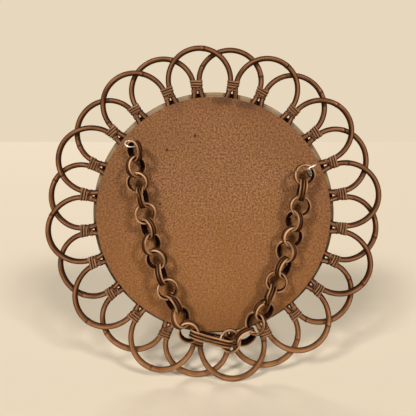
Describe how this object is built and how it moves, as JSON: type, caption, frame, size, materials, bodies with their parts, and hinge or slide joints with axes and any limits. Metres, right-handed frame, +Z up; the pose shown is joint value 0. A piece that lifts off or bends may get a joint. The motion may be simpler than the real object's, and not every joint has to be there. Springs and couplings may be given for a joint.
{
  "type": "wall mirror",
  "caption": "Round wall mirror in a border of interlaced rattan loops, with a hardboard back and a hanging chain of rattan links.",
  "frame": {"origin": "middle of the hardboard's outer face, which hangs against the wall", "axes": "+Y out of the hardboard towards the wall, -Y out of the looking glass, +Z up as hung"},
  "size_m": [0.5063, 0.0591, 0.5063],
  "materials": {
    "hardboard": "bare hardboard, brown and lightly mottled",
    "hoop_cane": "weathered cane, satin",
    "looking_glass": "silvered glass",
    "smoked_cane": "smoke-stained cane under a satin varnish",
    "split_cane": "split cane strip, satin",
    "chain_cane": "stained cane, satin with worn edges",
    "steel_wire": "bright steel wire"
  },
  "bodies": {
    "root": {"hardboard_back": "hardboard", "hoop": "hoop_cane", "mirror_glass": "looking_glass", "loop_01": "smoked_cane", "loop_02": "smoked_cane", "loop_03": "smoked_cane", "loop_04": "smoked_cane", "loop_05": "smoked_cane", "loop_06": "smoked_cane", "loop_07": "smoked_cane", "loop_08": "smoked_cane", "loop_09": "smoked_cane", "loop_10": "smoked_cane", "loop_11": "smoked_cane", "loop_12": "smoked_cane", "loop_13": "smoked_cane", "loop_14": "smoked_cane", "loop_15": "smoked_cane", "loop_16": "smoked_cane", "loop_17": "smoked_cane", "loop_18": "smoked_cane", "loop_19": "smoked_cane", "loop_20": "smoked_cane", "loop_21": "smoked_cane", "loop_22": "smoked_cane", "loop_23": "smoked_cane", "loop_24": "smoked_cane", "binding_01": "split_cane", "binding_02": "split_cane", "binding_03": "split_cane", "binding_04": "split_cane", "binding_05": "split_cane", "binding_06": "split_cane", "binding_07": "split_cane", "binding_08": "split_cane", "binding_09": "split_cane", "binding_10": "split_cane", "binding_11": "split_cane", "binding_12": "split_cane", "binding_13": "split_cane", "binding_14": "split_cane", "binding_15": "split_cane", "binding_16": "split_cane", "binding_17": "split_cane", "binding_18": "split_cane", "binding_19": "split_cane", "binding_20": "split_cane", "binding_21": "split_cane", "binding_22": "split_cane", "binding_23": "split_cane", "binding_24": "split_cane", "screw_eye_left": "steel_wire", "screw_eye_right": "steel_wire", "chain_left": "chain_cane", "chain_long_link": "chain_cane", "chain_right": "chain_cane"}
  },
  "joints": []
}
